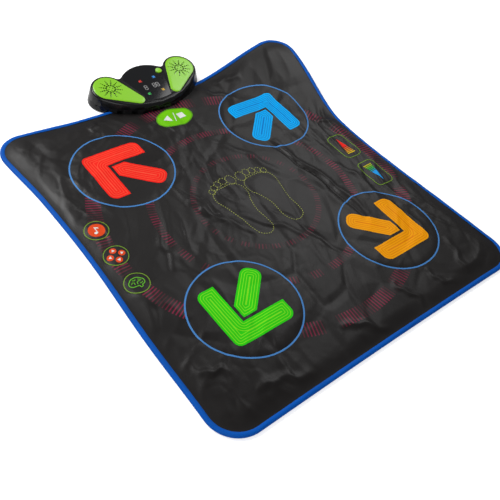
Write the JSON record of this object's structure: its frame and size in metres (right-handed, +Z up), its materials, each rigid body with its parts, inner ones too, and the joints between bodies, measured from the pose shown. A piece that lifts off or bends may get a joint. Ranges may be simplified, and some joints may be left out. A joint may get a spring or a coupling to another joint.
{
  "type": "dance rhythm machine",
  "caption": "Soft square touch mat with round arrow pads, edge binding and small mode and volume pads, and a speaker console with a digit display on its back edge.",
  "frame": {"origin": "middle of the mat's underside, on the floor", "axes": "+Z up, +Y from the dancer towards the console, +X to the dancer's right"},
  "size_m": [0.894, 1.0341, 0.0496],
  "materials": {
    "black_vinyl": "satin",
    "blue_tape": "matte",
    "base_cloth": "matte",
    "foam": "matte",
    "film": "satin",
    "red_print": "satin",
    "blue_print": "satin",
    "green_print": "satin",
    "orange_print": "satin",
    "black_plastic": "satin",
    "green_plastic": "gloss",
    "window": "gloss",
    "board_green": "satin",
    "clear_resin": "gloss",
    "steel": "satin",
    "nickel": "satin",
    "cone_paper": "matte",
    "cell_jacket": "satin",
    "wire": "matte",
    "rubber": "matte"
  },
  "bodies": {
    "mat_and_console": {"base_sheet": "base_cloth", "lower_circuit_film": "film", "spacer_foam": "foam", "upper_circuit_film": "film", "top_cover": "black_vinyl", "edge_binding": "blue_tape", "red_arrow_foam": "foam", "blue_arrow_foam": "foam", "green_arrow_foam": "foam", "orange_arrow_foam": "foam", "upper_housing": "black_plastic", "lower_housing": "black_plastic", "left_speaker_grille": "green_plastic", "right_speaker_grille": "green_plastic", "display_window": "window", "circuit_board": "board_green", "mode_digit_display": "window", "score_digit_display": "window", "red_arrow_led": "clear_resin", "blue_arrow_led": "clear_resin", "green_arrow_led": "clear_resin", "yellow_arrow_led": "clear_resin", "power_switch": "black_plastic", "tail_connector": "film", "circuit_tail": "film", "left_speaker_frame": "steel", "right_speaker_frame": "steel", "left_speaker_cone": "cone_paper", "right_speaker_cone": "cone_paper", "left_speaker_lead": "wire", "right_speaker_lead": "wire", "battery_1": "cell_jacket", "battery_2": "cell_jacket", "battery_3": "cell_jacket", "positive_contact": "nickel", "right_link_contact": "nickel", "left_link_contact": "nickel", "negative_contact": "nickel", "housing_screw_1": "steel", "housing_screw_2": "steel", "housing_screw_3": "steel", "housing_screw_4": "steel", "mat_screw_1": "steel", "mat_screw_2": "steel", "mat_screw_3": "steel", "left_rubber_foot": "rubber", "right_rubber_foot": "rubber"},
    "red_arrow_pad": {"red_arrow_pad": "red_print"},
    "blue_arrow_pad": {"blue_arrow_pad": "blue_print"},
    "green_arrow_pad": {"green_arrow_pad": "green_print"},
    "orange_arrow_pad": {"orange_arrow_pad": "orange_print"},
    "play_stop_pad": {"play_stop_pad": "green_print"},
    "free_mode_pad": {"free_mode_pad": "black_vinyl"},
    "follow_mode_pad": {"follow_mode_pad": "black_vinyl"},
    "memory_mode_pad": {"memory_mode_pad": "black_vinyl"},
    "volume_up_pad": {"volume_up_pad": "black_vinyl"},
    "volume_down_pad": {"volume_down_pad": "black_vinyl"},
    "power_button": {"power_button": "green_plastic"},
    "battery_door": {"battery_door": "black_plastic", "battery_door_screw": "steel"}
  },
  "joints": [
    {"name": "red_arrow_press", "type": "slide", "parent": "mat_and_console", "child": "red_arrow_pad", "axis": [0, 0, -1], "range_m": [0, 0.0015], "stiffness_N_per_m": 8000, "deforming": ["red_arrow_foam"]},
    {"name": "blue_arrow_press", "type": "slide", "parent": "mat_and_console", "child": "blue_arrow_pad", "axis": [0, 0, -1], "range_m": [0, 0.0015], "stiffness_N_per_m": 8000, "deforming": ["blue_arrow_foam"]},
    {"name": "green_arrow_press", "type": "slide", "parent": "mat_and_console", "child": "green_arrow_pad", "axis": [0, 0, -1], "range_m": [0, 0.0015], "stiffness_N_per_m": 8000, "deforming": ["green_arrow_foam"]},
    {"name": "orange_arrow_press", "type": "slide", "parent": "mat_and_console", "child": "orange_arrow_pad", "axis": [0, 0, -1], "range_m": [0, 0.0015], "stiffness_N_per_m": 8000, "deforming": ["orange_arrow_foam"]},
    {"name": "play_stop_press", "type": "slide", "parent": "mat_and_console", "child": "play_stop_pad", "axis": [0, 0, -1], "range_m": [0, 0.0015], "stiffness_N_per_m": 2000},
    {"name": "free_mode_press", "type": "slide", "parent": "mat_and_console", "child": "free_mode_pad", "axis": [0, 0, -1], "range_m": [0, 0.0015], "stiffness_N_per_m": 2000},
    {"name": "follow_mode_press", "type": "slide", "parent": "mat_and_console", "child": "follow_mode_pad", "axis": [0, 0, -1], "range_m": [0, 0.0015], "stiffness_N_per_m": 2000},
    {"name": "memory_mode_press", "type": "slide", "parent": "mat_and_console", "child": "memory_mode_pad", "axis": [0, 0, -1], "range_m": [0, 0.0015], "stiffness_N_per_m": 2000},
    {"name": "volume_up_press", "type": "slide", "parent": "mat_and_console", "child": "volume_up_pad", "axis": [0, 0, -1], "range_m": [0, 0.0015], "stiffness_N_per_m": 2000},
    {"name": "volume_down_press", "type": "slide", "parent": "mat_and_console", "child": "volume_down_pad", "axis": [0, 0, -1], "range_m": [0, 0.0015], "stiffness_N_per_m": 2000},
    {"name": "power_press", "type": "slide", "parent": "mat_and_console", "child": "power_button", "axis": [0, 0.1483, -0.9889], "range_m": [0, 0.0012], "stiffness_N_per_m": 1500},
    {"name": "battery_door_hinge", "type": "hinge", "parent": "mat_and_console", "child": "battery_door", "pos_m": [0, 0.4824, 0.0015], "axis": [-1, 0, 0], "range_deg": [0, 25]}
  ]
}
